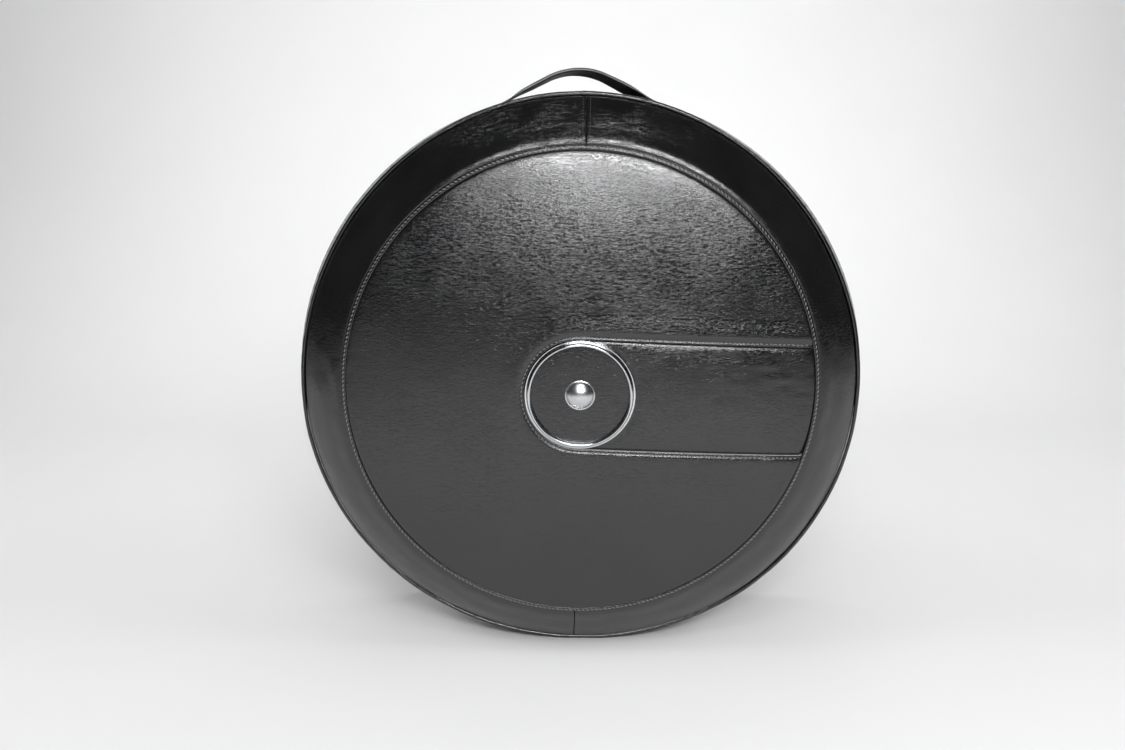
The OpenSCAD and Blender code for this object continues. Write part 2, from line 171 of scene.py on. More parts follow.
def world_turned(x, y, z, angle):
    """world() for points that are turned on the cover first."""
    return world(*turned(x, y, angle), z)


def world_round(r, a, z, low=-math.inf):
    """world() from a radius and an angle; nothing goes below low, where the cover stands."""
    return world(r * np.cos(a), np.maximum(r * np.sin(a), low), z)


def from_middle(a, middle):
    """The angle from middle to a, at most half a turn either way."""
    return (a - middle + math.pi) % TURN - math.pi


def join_distance(a, radius):
    """How far along the skin the nearer of the top and bottom joins is."""
    return radius * np.minimum(np.abs(from_middle(a, TOP)), np.abs(from_middle(a, BOTTOM)))


# ---- Smooth random shapes ----


def eased(t):
    """A smooth step from 0 to 1."""
    t = np.clip(t, 0, 1)
    return t * t * (3 - 2 * t)


def hump(d, width):
    """A bell of height 1 round d = 0."""
    return np.exp(-((d / width) ** 2))


def ring_noise(a, cells, seed):
    """Smooth values from -1 to 1 round a full turn, with that many cells."""
    values = np.random.default_rng(RNG_SEED + seed).uniform(-1, 1, cells)
    t = (np.asarray(a) / TURN % 1) * cells
    i = np.floor(t).astype(int)
    f = eased(t - i)
    return values[i % cells] * (1 - f) + values[(i + 1) % cells] * f


def plane_noise(x, y, cell, seed):
    """Smooth values from -1 to 1 over a plane, with square cells of that size."""
    n = 97
    values = np.random.default_rng(RNG_SEED + seed).uniform(-1, 1, (n, n))
    u, v = np.broadcast_arrays(np.asarray(x) / cell, np.asarray(y) / cell)
    i, j = np.floor(u).astype(int), np.floor(v).astype(int)
    f, g = eased(u - i), eased(v - j)
    i, j, i1, j1 = i % n, j % n, (i + 1) % n, (j + 1) % n
    low = values[i, j] * (1 - f) + values[i1, j] * f
    high = values[i, j1] * (1 - f) + values[i1, j1] * f
    return low * (1 - g) + high * g


# ---- Meshes ----


def stack(points):
    return np.asarray(points).reshape(-1, 3)


def unit(vectors):
    return vectors / np.linalg.norm(vectors, axis=1, keepdims=True)


def steps(length, step, fine=0.45, growth=1.4):
    """Positions from 0 to length, close together at both ends and a step apart between."""
    ends, d, at = [0.0], fine, 0.0
    while d < step and at + d < length / 2:
        at += d
        ends.append(at)
        d *= growth
    ends = np.array(ends)
    inner = max(2, int(round((length - 2 * at) / step)) + 1)
    return np.unique(np.concatenate([ends, np.linspace(at, length - at, inner), length - ends]))


def grid_faces(rows, cols, wrap=False):
    """Four-sided faces of a grid of points; wrap closes each row on itself."""
    i = np.arange(rows * cols).reshape(rows, cols)
    if wrap:
        i = np.concatenate([i, i[:, :1]], axis=1)
    return np.stack([i[:-1, :-1], i[:-1, 1:], i[1:, 1:], i[1:, :-1]], -1).reshape(-1, 4)


def linked(name, data):
    """An object in the scene for a mesh, a lamp or a camera."""
    item = bpy.data.objects.new(name, data)
    bpy.context.scene.collection.objects.link(item)
    return item


def new_object(name, points, faces, material):
    """A smooth mesh, as an object."""
    mesh = bpy.data.meshes.new(name)
    mesh.from_pydata(stack(points).tolist(), [], faces)
    mesh.update()
    mesh.shade_smooth()
    mesh.materials.append(material)
    return linked(name, mesh)


def register(piece, replaces, body):
    """Hides the CAD nodes a piece stands for and hangs the piece on the empty of the body it rides."""
    if replaces:
        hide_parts(*replaces)
    if body:
        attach(piece, body)
    return piece


def make(name, points, faces, material, slot, replaces, towards, weld=False):
    """One piece. towards says which way its faces look; weld joins points that share a place."""
    piece = new_object(name, points, np.asarray(faces).tolist(), material)
    mesh = piece.data
    if weld:
        bm = bmesh.new()
        bm.from_mesh(mesh)
        bmesh.ops.remove_doubles(bm, verts=bm.verts, dist=1e-6)
        bm.to_mesh(mesh)
        bm.free()
        mesh.update()
    centres, normals = (np.array([getattr(p, key) for p in mesh.polygons]) for key in ("center", "normal"))
    areas = np.array([p.area for p in mesh.polygons])
    if (np.sum(normals * towards(centres), axis=1) * areas).sum() < 0:
        mesh.flip_normals()
    return register(piece, replaces, "cover")


# ways for the faces of a piece, from the middles of its faces


def frontward(centres):
    return np.array([0, -1, 0])


def backward(centres):
    return np.array([0, 1, 0])


def outward(centres):
    return centres * [1, 0, 1] - [0, 0, CENTRE_Z]


def inward(centres):
    return -outward(centres)


def closed_outward(centres):
    return centres - centres.mean(axis=0)


def slab(top, bottom):
    """A closed solid between two grids of points with the same shape."""
    rows, cols = top.shape[:2]
    n = rows * cols
    faces = grid_faces(rows, cols)
    i = np.arange(n).reshape(rows, cols)
    rim = np.concatenate([i[0, :-1], i[:-1, -1], i[-1, :0:-1], i[:0:-1, 0]])
    after = np.roll(rim, -1)
    sides = np.stack([after, rim, rim + n, after + n], -1)
    points = np.concatenate([stack(top), stack(bottom)])
    return points, np.concatenate([faces, faces[:, ::-1] + n, sides])


def make_surface(name, points, material, node, towards, weld=False, slot="leatherette"):
    """An open sheet on a grid of points."""
    faces = grid_faces(*points.shape[:2])
    return make(name, points, faces, material, slot, [node], towards=towards, weld=weld)


def make_lining(name, points, node, towards):
    return make_surface(name, points, LINING, node, towards, weld=True, slot="lining")


def make_foam(name, top, bottom, node):
    """A block of foam between two grids of points."""
    foam = make(name, *slab(top, bottom), FOAM, "foam", [node], towards=closed_outward)


def tube(path, radii, sides, across):
    """Rings of points round a path, with one radius each; across gives each ring's two directions."""
    angles = np.arange(sides) * TURN / sides
    u, v = across
    ring = np.cos(angles)[None, :, None] * u[:, None] + np.sin(angles)[None, :, None] * v[:, None]
    return path[:, None] + ring * radii[:, None, None]


# ---- Materials ----


class Nodes:
    """A short way to write a node tree."""

    def __init__(self, name):
        self.material = bpy.data.materials.new(name)
        self.material.use_nodes = True
        self.tree = self.material.node_tree
        self.shader = self.tree.nodes["Principled BSDF"]
        self.place = self.add("ShaderNodeTexCoord").outputs["Object"]
        self.at = self.scaled()

    def add(self, kind, **settings):
        node = self.tree.nodes.new(kind)
        for key, value in settings.items():
            setattr(node, key, value)
        return node

    def link(self, source, target):
        self.tree.links.new(source, target)

    def textured(self, kind, vector, output, inputs, **settings):
        """The output of a node that reads the vector, with these values on its other inputs."""
        node = self.add(kind, **settings)
        self.link(vector, node.inputs["Vector"])
        for key, value in inputs.items():
            node.inputs[key].default_value = value
        return node.outputs[output]

    def scaled(self, scale=(1, 1, 1), turn=(0, 0, 0)):
        inputs = {"Scale": scale, "Rotation": turn}
        return self.textured("ShaderNodeMapping", self.place, "Vector", inputs)

    def noise(self, vector, scale, detail=3.0, rough=0.55, distortion=0.0):
        inputs = {"Scale": scale, "Detail": detail, "Roughness": rough, "Distortion": distortion}
        return self.textured("ShaderNodeTexNoise", vector, "Fac", inputs)

    def cells(self, vector, scale):
        return self.textured("ShaderNodeTexVoronoi", vector, "Distance", {"Scale": scale})

    def wave(self, vector, scale, distortion=0.0, direction="X"):
        inputs = {"Scale": scale, "Distortion": distortion}
        return self.textured("ShaderNodeTexWave", vector, "Fac", inputs, bands_direction=direction)

    def creases(self, noise):
        """Sharp valleys where a noise goes through its middle value."""
        return self.math("ABSOLUTE", self.math("SUBTRACT", noise, 0.5), 0)

    def remap(self, value, low, high, to_low, to_high, smooth=False):
        node = self.add("ShaderNodeMapRange")
        if smooth:
            node.interpolation_type = "SMOOTHSTEP"
        self.link(value, node.inputs["Value"])
        limits = {"From Min": low, "From Max": high, "To Min": to_low, "To Max": to_high}
        for key, number in limits.items():
            node.inputs[key].default_value = number
        return node.outputs["Result"]

    def math(self, operation, a, b):
        node = self.add("ShaderNodeMath", operation=operation)
        for socket, value in zip(node.inputs, (a, b)):
            if isinstance(value, (int, float)):
                socket.default_value = value
            else:
                self.link(value, socket)
        return node.outputs["Value"]

    def mix(self, factor, dark, light):
        node = self.add("ShaderNodeMix", data_type="RGBA")
        self.link(factor, node.inputs["Factor"])
        node.inputs[6].default_value = (*dark, 1)
        node.inputs[7].default_value = (*light, 1)
        return node.outputs[2]

    def bump(self, height, distance, strength=1.0, under=None):
        node = self.add("ShaderNodeBump")
        self.link(height, node.inputs["Height"])
        node.inputs["Distance"].default_value = distance
        node.inputs["Strength"].default_value = strength
        if under is not None:
            self.link(under, node.inputs["Normal"])
        return node.outputs["Normal"]

    def set(self, **values):
        names = {"ior": "IOR", "specular": "Specular IOR Level", "sheen": "Sheen Weight",
                 "sheen_roughness": "Sheen Roughness", "metallic": "Metallic", "roughness": "Roughness"}
        for key, value in values.items():
            self.shader.inputs[names[key]].default_value = value

    def finish(self, colour, roughness=None, normal=None):
        self.link(colour, self.shader.inputs["Base Color"])
        if roughness is not None:
            self.link(roughness, self.shader.inputs["Roughness"])
        if normal is not None:
            self.link(normal, self.shader.inputs["Normal"])
        return self.material


def leatherette(name, stretch=(1, 1, 1), turn=(0, 0, 0), wrinkles=1.0, rough=(0.13, 0.2),
                crushed_above=None):
    """Smooth black leatherette: fine pores, a net of stretch wrinkles and softer waves under it.

    Above the height crushed_above, in metres, patches of a coarser crush show as well.
    """
    n = Nodes(name)
    n.set(ior=1.5, specular=0.85)
    along = n.scaled(stretch, turn)
    patches = n.remap(n.noise(n.at, 11, 3), 0.36, 0.66, 0.75, 1.0, smooth=True)
    net = n.math("MULTIPLY", n.creases(n.noise(along, 190, 4, 0.62, 1.1)), patches)
    waves = n.noise(along, 52, 3, 0.5, 0.3)
    normal = n.bump(n.cells(n.at, 620), 0.00003)
    normal = n.bump(net, 0.00065 * wrinkles, under=normal)
    normal = n.bump(waves, 0.00012 * wrinkles, under=normal)
    if crushed_above is not None:
        heights = n.add("ShaderNodeSeparateXYZ")
        n.link(n.place, heights.inputs["Vector"])
        zone = n.remap(heights.outputs["Z"], crushed_above, crushed_above + 0.03, 0, 1, smooth=True)
        spots = n.remap(n.noise(n.scaled((1, 1, 0.6)), 9, 2), 0.4, 0.62, 0.15, 1, smooth=True)
        crush = n.creases(n.noise(along, 165, 3, 0.6, 1.0))
        crush = n.math("MULTIPLY", crush, n.math("MULTIPLY", zone, spots))
        normal = n.bump(crush, 0.0031, under=normal)
    cloudy = n.remap(n.noise(n.at, 14, 4), 0.3, 0.7, 0, 1)
    colour = n.mix(cloudy, (0.0035, 0.0035, 0.0037), (0.0065, 0.0065, 0.0068))
    roughness = n.remap(n.noise(n.at, 45, 4), 0.3, 0.7, *rough)
    return n.finish(colour, roughness, normal)


def plain(name, dark, light, scale, bump_scale, rough=(0.5, 0.7)):
    """A mottled colour with a fine bump."""
    n = Nodes(name)
    colour = n.mix(n.remap(n.noise(n.at, scale, 4), 0.3, 0.7, 0, 1), dark, light)
    roughness = n.remap(n.noise(n.at, scale * 3, 3), 0.3, 0.7, *rough)
    return n.finish(colour, roughness, n.bump(n.noise(n.at, bump_scale, 3), 0.0001))


def foam_material():
    """Grey open-celled foam."""
    n = Nodes("foam_cells")
    pits = n.cells(n.at, 900)
    colour = n.mix(pits, (0.20, 0.205, 0.21), (0.40, 0.41, 0.42))
    return n.finish(colour, n.remap(pits, 0, 1, 0.8, 0.95), n.bump(pits, 0.0004))


def fabric(name, dark, light, pitch, depth=0.0002):
    """A woven cloth: two crossing sets of ribs, a third on the slant to break them up, and lint."""
    n = Nodes(name)
    n.set(sheen=0.25, sheen_roughness=0.5)
    warp = n.wave(n.at, 1 / pitch, 0.4, "X")
    weft = n.wave(n.at, 1 / pitch, 0.4, "Z")
    slant = n.wave(n.scaled(turn=(0.5, 0, 0.6)), 1 / pitch, 0.4, "Y")
    weave = n.math("MULTIPLY", n.math("ADD", warp, slant), n.math("ADD", weft, 0.3))
    lint = n.noise(n.at, 260, 4)
    colour = n.mix(n.math("MULTIPLY", lint, weave), dark, light)
    normal = n.bump(lint, 0.0001, under=n.bump(weave, depth))
    return n.finish(colour, n.remap(lint, 0.3, 0.7, 0.75, 0.95), normal)


def thread_material():
    """Grey twisted thread with a soft shine."""
    n = Nodes("sewing_thread")
    n.set(specular=1.0, sheen=0.1, sheen_roughness=0.4)
    twist = n.wave(n.scaled(turn=(0.6, 0.5, 0.7)), 900, 1.5)
    colour = n.mix(twist, (0.06, 0.06, 0.061), (0.19, 0.19, 0.193))
    return n.finish(colour, n.remap(twist, 0, 1, 0.26, 0.4), n.bump(twist, 0.00006))


def chrome_material(name, rough):
    """Chrome plate with a light haze and fine scuffs."""
    n = Nodes(name)
    n.set(metallic=1.0)
    haze = n.noise(n.at, 30, 4)
    scuffs = n.noise(n.scaled((1, 1, 14), (0, 0.5, 0)), 300, 3)
    colour = n.mix(haze, (0.54, 0.55, 0.57), (0.64, 0.65, 0.66))
    return n.finish(colour, n.remap(haze, 0.3, 0.7, *rough), n.bump(scuffs, 0.00001))


def steel_material():
    """Plated spring steel with drawn lines."""
    n = Nodes("plated_steel")
    n.set(metallic=1.0)
    lines = n.noise(n.scaled((1, 1, 6)), 420, 4)
    colour = n.mix(lines, (0.42, 0.42, 0.43), (0.62, 0.62, 0.63))
    return n.finish(colour, n.remap(lines, 0.3, 0.7, 0.28, 0.42), n.bump(lines, 0.00003))


FRONT_LEATHER = leatherette("leatherette_front", stretch=(0.85, 1, 1.7))
SHOULDER_LEATHER = leatherette("leatherette_shoulder", stretch=(0.6, 1, 1.6), turn=(0, 0.15, 0),
                               wrinkles=0.9, crushed_above=0.685)
WALL_LEATHER = leatherette("leatherette_wall", stretch=(1, 0.7, 1), wrinkles=0.8)
STRAP_LEATHER = leatherette("leatherette_strap", stretch=(0.6, 1, 1), wrinkles=0.4, rough=(0.34, 0.44))
FOAM = foam_material()
LINING = fabric("lining_cloth", (0.028, 0.029, 0.031), (0.085, 0.087, 0.092), 0.0011)
TAPE = fabric("woven_tape", (0.015, 0.015, 0.016), (0.05, 0.05, 0.053), 0.0008)
THREAD = thread_material()
BOARD = plain("fibre_board", (0.03, 0.03, 0.032), (0.06, 0.06, 0.064), 90, 500)
CORD = plain("piping_filler", (0.14, 0.14, 0.14), (0.26, 0.26, 0.26), 200, 800, (0.7, 0.85))
ELASTIC = fabric("elastic_braid", (0.012, 0.012, 0.013), (0.05, 0.05, 0.053), 0.0007, 0.0003)
STEEL = steel_material()
CHROME = chrome_material("chrome_plate", (0.08, 0.14))
SATIN_CHROME = chrome_material("satin_chrome_plate", (0.24, 0.3))

# ---- The shape of the shell ----


def outline(a):
    """How far the sewn outer edge stands off a true circle."""
    sag = -0.8 + 0.4 * np.cos(a) - 1.7 * np.sin(a) - 0.8 * np.sin(2 * a)
    corners = -0.5 * np.cos(3 * a) - 2.6 * np.sin(3 * a)
    return sag + corners + 0.4 * ring_noise(a, 26, 1) + 0.2 * ring_noise(a, 70, 2)


def disc_z(r):
    """The domed front's nominal height at radius r."""
    return BALL_Z + np.sqrt(BALL_R**2 - r**2)


def puckers(a, seed):
    """Short folds that a seam pulls into the skin, as a height from -1 to 1 round the seam."""
    strength = 0.65 + 0.35 * ring_noise(a, 9, seed + 5)
    return strength * (0.6 * ring_noise(a, 110, seed) + 0.4 * ring_noise(a, 230, seed + 1))


def seam_depth(a):
    """How boldly the disc seam stands out: fully at the top of the cover, nearly flush elsewhere."""
    return 0.22 + 0.78 * hump(from_middle(a, math.radians(88)), math.radians(52))


def front_height(x, y):
    """The front skin's height over the whole disc, before the band is let in."""
    r, a = np.hypot(x, y), np.arctan2(y, x)
    d = DISC_R - r
    depth = seam_depth(a)
    z = disc_z(np.minimum(r, DISC_R))
    z = z - (0.4 + 1.3 * depth) * np.exp(-d / 8) - (0.5 + 3.2 * depth) * np.exp(-d / 1.3)
    z = z + (0.2 + 0.3 * depth) * puckers(a, 11) * np.exp(-d / 14) * eased(d / 3)
    z = z + 0.3 * plane_noise(x, y, 95, 21) + 0.05 * plane_noise(x, y, 31, 22)
    dent = -0.7 * hump(x + 28, 13) * hump(y - 300, 7)
    return z + dent


def band_swell(d, x, y):
    """The front panel's swell outside the band's folded edge, d from that edge."""
    rest = 0.45 + 0.55 * eased((x + 40) / 260)
    upper = eased((y + 40) / 60)
    rise = (0.4 + 1.1 * upper) * rest * (eased((d - 4.5) / 8) - eased((d - 12) / 26))
    groove = 0.8 * hump(d - BAND_STITCH, 1.1)
    roll = 0.7 * np.exp(-d / 0.6) + (0.6 + 0.3 * upper) * (1 - eased((d - 2) / (6 + 2 * upper)))
    return rise - groove - roll


def shoulder_point(s, off):
    """Radius and height at s along the shoulder's arc from its inner edge, lifted by off."""
    t = s / SHOULDER_ARC - SHOULDER_HALF
    r, z = (SHOULDER_C[k] + (SHOULDER_ARC + off) * (SHOULDER_DIR[k] * np.sin(t) + SHOULDER_UP[k] * np.cos(t))
            for k in (0, 1))
    return r, z


def seam_pull(s):
    """How far a sewn join between two halves draws the skin in, at s from the join."""
    join = 1.9 * np.exp(-s / 0.5)
    row = 0.3 * hump(s - JOIN_ROW, 0.9)
    swell = 0.12 * (hump(s - JOIN_ROW / 2, 1.4) + hump(s - 8, 3))
    return join + row - swell


# ---- Front panel and inset band ----


def band_end(v):
    """How far the band's line at height v above its own middle runs before it meets the disc seam."""
    return np.sqrt(DISC_R**2 - (v - BAND_DROP) ** 2)


def slot_boundary(step):
    """The band's folded edge from the upper right round the left end to the lower right.

    Each point is given by where its line leaves the band's middle and by the line's direction.
    """
    top, low = band_end(BAND_HALF), band_end(-BAND_HALF)
    along_top, along_low = top - steps(top, step), steps(low, step)
    bend = TOP + np.linspace(0, math.pi, int(math.pi * DISC_R / step / 1.35))[1:-1]
    x0 = np.concatenate([along_top, 0 * bend, along_low])
    return x0, np.concatenate([TOP + 0 * along_top, bend, 3 * TOP + 0 * along_low])


def beside_band(x0, direction, d):
    """x and y at d outside the band's folded edge."""
    off = BAND_HALF + d
    return x0 + np.cos(direction) * off, np.sin(direction) * off - BAND_DROP


def face_grid(step, count):
    """The front panel's x, y and z on lines that run square from the band's edge to the disc seam."""
    x0, direction = slot_boundary(step)
    along = x0 * np.cos(direction) - BAND_DROP * np.sin(direction)
    seam = np.sqrt(np.maximum(along**2 - x0**2 - BAND_DROP**2 + DISC_R**2, 0)) - along
    # shares of each line, close together at both ends
    t = np.linspace(0, 1, count)[:, None]
    d = np.maximum(seam - BAND_HALF, 0) * (t - 0.93 * np.sin(TURN * t) / TURN)
    x, y = beside_band(x0, direction, d)
    return x, y, front_height(x, y) + band_swell(d, x, y)


def build_face():
    x, y, z = face_grid(2.1, 118)
    dx, dy = x[1] - x[0], y[1] - y[0]
    size = np.maximum(np.hypot(dx, dy), 1e-9)
    # the skin turns under itself along the band's edge, and goes down into the disc seam at its rim
    fold = [(x[0] + dx / size * out, y[0] + dy / size * out, z[0] - down)
            for out, down in ((5.0, 1.6), (1.0, 1.5), (0.25, 0.9))]
    rim = [(x[-1], y[-1], z[-1] - down) for down in (1.5, 5.5)]
    x, y, z = np.array([*fold, *zip(x, y, z), *rim]).swapaxes(0, 1)
    points = world_turned(x, y, z, BAND_TURN)
    face = make_surface("front_panel", points, FRONT_LEATHER, "face_panel", frontward)
    x, y, z = (grid[:, 3:-3] for grid in face_grid(8, 40))
    x, y = turned(x, y, BAND_TURN)
    low = disc_z(np.hypot(x, y)) - UNDER_SKIN - DISC_FOAM
    make_foam("front_foam", world(x, y, z - UNDER_SKIN), world(x, y, low), "face_foam")


def band_height(x, y):
    """The inset band: let in below the front panel, full in the middle and drawn down at its edge."""
    v = y + BAND_DROP
    inside = np.where(x > 0, BAND_HALF - np.abs(v), BAND_HALF - np.hypot(x, v))
    full = 2.3 * (1 - (v / BAND_HALF) ** 2) * eased((x - 55) / 70) - 0.4
    edge = -1.2 * hump(inside, 1.5) + 2.1 * (1 - np.exp(-np.maximum(inside, 0) / 4.5))
    tug = 0.3 * plane_noise(x * 0.4, y, 9, 31) * eased((x - 90) / 120) * eased((y + 25) / 50)
    tug = tug + 0.2 * plane_noise(x, y * 0.7, 21, 32) - 1.4 * np.exp(-(band_end(v) - x) / 14)
    hollow = -0.5 * hump(np.hypot(x, v) - 76, 5) * eased(inside / 3)
    return front_height(x, y) - BAND_RECESS - 0.9 + full + edge + tug + hollow


def band_grid(step, count):
    """x and y over the whole band, which runs a little under the front panel's edge."""
    low = steps(band_end(0), step)
    top = band_end(0) - low
    bend = math.pi / 2 + np.linspace(0, math.pi, int(math.pi * BAND_HALF / step))[1:-1]
    t = np.linspace(0, 1, count)[:, None]
    across = (BAND_HALF + BAND_UNDER) * (1 - t + 0.5 * np.sin(math.pi * t) / math.pi)
    upper_x = top * band_end(across) / band_end(0)
    lower_x = low * band_end(-across) / band_end(0)
    x = np.concatenate([upper_x, across * np.cos(bend), lower_x], 1)
    y = np.concatenate([across + 0 * top, across * np.sin(bend), -across + 0 * low], 1)
    return x, y - BAND_DROP


def build_band():
    x, y = band_grid(2.0, 56)
    points = world_turned(x, y, band_height(x, y), BAND_TURN)
    band = make_surface("inset_band", points, FRONT_LEATHER, "inset_panel", frontward, weld=True)
    x, y = band_grid(8, 16)
    z = band_height(x, y) - UNDER_SKIN
    low = disc_z(np.minimum(np.hypot(x, y), DISC_R)) - UNDER_SKIN - DISC_FOAM - 0.2
    top = world_turned(x, y, np.maximum(z, low + 1), BAND_TURN)
    make_foam("band_foam", top, world_turned(x, y, low, BAND_TURN), "inset_foam")


# ---- Shoulder, piping and side wall ----


def shoulder_surface(s, a, lift=0.0):
    """The shoulder skin at s from its inner edge and angle a: x, y and z."""
    depth = seam_depth(a)
    past_fold, to_edge = s - FOLD_AT, SHOULDER_LENGTH - s
    arch = np.sin(np.pi * np.clip(s / SHOULDER_LENGTH, 0, 1))
    # the disc seam: the turned-in edge, the stitched flange, the fold and the puff beyond it
    inner_edge = -(0.4 + 2.8 * depth) * np.exp(-s / 0.6)
    flange = depth * np.where(s < FOLD_AT, -0.9 - 0.25 * np.abs(s - 3.6), 0)
    groove = -0.5 * hump(s - STITCH_S, 0.9)
    fold = -1.7 * depth * hump(past_fold, 0.6)
    puff = (0.3 + 2.1 * depth) * (eased(past_fold / 7) - eased((past_fold - 7) / 20))
    # the piping's seam, and the small folds that both seams pull into the skin
    tuck = -1.0 * np.exp(-to_edge / 1.4) - 0.3 * np.exp(-to_edge / 6)
    tug = (0.25 + 0.4 * depth) * puckers(a, 41) * hump(past_fold - 6, 9) * eased(past_fold / 3)
    tug = tug + 0.2 * puckers(a, 47) * np.exp(-to_edge / 12) * eased(to_edge / 4)
    # the uneven filling, and the creases on both sides of the top join
    body = 0.9 * ring_noise(a, 17, 51) * arch
    body = body + 0.4 * plane_noise(a * 340, s * 1.3, 24, 52) * eased((s - 10) / 10)
    pull = seam_pull(join_distance(a, SHOULDER_MID_R)) * eased((s - 1) / 3)
    near_top = hump(np.abs(from_middle(a, TOP)) * SHOULDER_MID_R - 45, 60) * arch**2
    creases = 0.4 * near_top * plane_noise(a * SHOULDER_MID_R * 0.35, s + a * 40, 4.6, 53)
    off = fold + puff + flange + groove + inner_edge + tuck + tug + body + creases - pull + lift
    r, z = shoulder_point(s, off)
    r = r + outline(a - SHOULDER_TURN) * eased((s - 8) / 60)
    return r * np.cos(a), r * np.sin(a), z


def half_angles(side, radius, step, gap=0.12):
    """Angles over one half of the cover, from its top join to its bottom one, closest at both."""
    along = gap + steps(math.pi * radius - 2 * gap, step, 0.35)
    return TOP - side * along / radius


def build_shoulder(side, word):
    outer = FOLD_AT + steps(SHOULDER_LENGTH - FOLD_AT, 1.9, 0.35)[1:]
    s = np.concatenate([steps(FOLD_AT, 0.8, 0.3), outer])
    a = half_angles(side, SHOULDER_MID_R, 2.6)
    x, y, z = shoulder_surface(s[:, None], a[None, :])
    # the seam allowances: down inside the disc seam, and back behind the piping
    x = np.concatenate([x[:1] * 0.9995, x, x[-1:]])
    y = np.concatenate([y[:1] * 0.9995, y, y[-1:]])
    z = np.concatenate([z[:1] - DISC_ALLOWANCE, z, z[-1:] - SHOULDER_ALLOWANCE])
    x, y = turned(x, y, SHOULDER_TURN)
    points = world(x, np.maximum(y, FLOOR + 0.3), z)
    skin = make_surface(f"shoulder_skin_{word}", points, SHOULDER_LEATHER, f"shoulder_{word}", frontward)
    s = np.linspace(9, SHOULDER_LENGTH - 9, 14)
    a = half_angles(side, SHOULDER_MID_R, 9, PAD_GAP)
    x, y, z = shoulder_surface(s[:, None], a[None, :], -UNDER_SKIN)
    top = world_turned(x, y, z, SHOULDER_TURN)
    r, z = shoulder_point(s[:, None] + 0 * a, 0.2 - SKIN - WALL_FOAM)
    low = world_turned(r * np.cos(a), r * np.sin(a), z, SHOULDER_TURN)
    make_foam(f"shoulder_pad_{word}", top, low, f"shoulder_foam_{word}")


def build_piping():
    count, sides = 1080, 14
    a = TOP - np.linspace(0, TURN, count + 1)[:-1]
    r = WALL_R + 0.5 - PIPING_R + outline(a)
    lump = hump(from_middle(a, TOP - 0.012) * WALL_R, 4)
    path = world_round(r, a, 0.6 * ring_noise(a, 60, 61), FLOOR + PIPING_R + 0.05)
    out = np.stack([np.cos(a), 0 * a, np.sin(a)], -1)
    radii = PIPING_R + 0.12 * ring_noise(a, 300, 62) + 0.5 * lump
    rings = tube(path, radii * MM, sides, (out, np.tile(FRONT_WAY, (count, 1))))
    faces = grid_faces(count, sides, wrap=True)
    last = grid_faces(2, sides, wrap=True)
    last = np.where(last < sides, last + sides * (count - 1), last - sides)
    piping = make("piping", rings, np.concatenate([faces, last]), SHOULDER_LEATHER, "leatherette",
                  ["piping_cover"], towards=outward)


def wall_bulge(a, t):
    """How far the padded side wall stands out, at angle a and t from the front seam (0) to the rear (1)."""
    full = np.clip(4 * t * (1 - t), 0, 1) ** 0.45
    low_left = hump(from_middle(a, -math.pi * 0.70), 0.42)
    away = 1 - hump(from_middle(a, TOP), 0.5)
    bulge = full * (0.4 + 1.9 * away) + 4.5 * low_left * hump(t - 0.10, 0.10)
    return bulge + 0.8 * ring_noise(a, 23, 71) * full * away


def root_dip(a, z):
    """The handle's sewn ends press the side wall in."""
    x = WALL_R * np.cos(a)
    return 3.0 * (np.sin(a) > 0) * hump(np.abs(x) - 112, 26) * hump(z - HANDLE_Z, 30)


def wall_surface(a, z, lift=0.0):
    """The side wall skin's radius at angle a and depth z."""
    from_piping, from_rear = -z - PIPING_R, WALL_W + z
    t = from_piping / (WALL_W - PIPING_R)
    ends = 3.6 * np.exp(-np.abs(from_piping) / 1.2) + 1.8 * np.exp(-np.abs(from_rear) / 1.5)
    tug = puckers(a, 73) * np.exp(-from_piping / 16) + puckers(a, 77) * np.exp(-from_rear / 16)
    tug = 0.7 * tug * eased(from_piping / 5) * eased(from_rear / 5)
    pull = seam_pull(join_distance(a, WALL_R))
    soft = 0.35 * plane_noise(a * WALL_R, z, 33, 78) * np.clip(4 * t * (1 - t), 0, 1)
    stitch = 0.45 * hump(from_rear - REAR_STITCH, 1.1)
    shape = wall_bulge(a, t) + outline(a) * (1 - 0.6 * t) - root_dip(a, z)
    return WALL_R + shape - ends + tug - pull + soft - stitch + lift


def build_wall(side, word):
    z = -(PIPING_R + 0.1) - steps(WALL_W - PIPING_R - 0.3, 3.6, 0.6)
    a = half_angles(side, WALL_R, 3.2)
    r = wall_surface(a[None, :], z[:, None])
    # the seam allowance: the skin's front edge turns in behind the piping
    r = np.concatenate([r[:1] - WALL_ALLOWANCE, r])
    z = np.concatenate([z[:1], z])
    points = world_round(r, a, z[:, None], UNDERSIDE)
    skin = make_surface(f"side_skin_{word}", points, WALL_LEATHER, f"wall_{word}", outward)
    z = np.linspace(-(PIPING_R + 2), -(WALL_W - 3), 18)
    a = half_angles(side, WALL_R, 12, PAD_GAP)
    r = wall_surface(a[None, :], z[:, None], -UNDER_SKIN)
    r_in = np.minimum(WALL_R - UNDER_SKIN - WALL_FOAM, r - 0.5)
    low = UNDERSIDE + UNDER_SKIN
    top = world_round(r, a, z[:, None], low)
    inner = world_round(r_in, a, z[:, None], low + WALL_FOAM)
    make_foam(f"side_pad_{word}", top, inner, f"wall_foam_{word}")


# ---- Rear edge ----


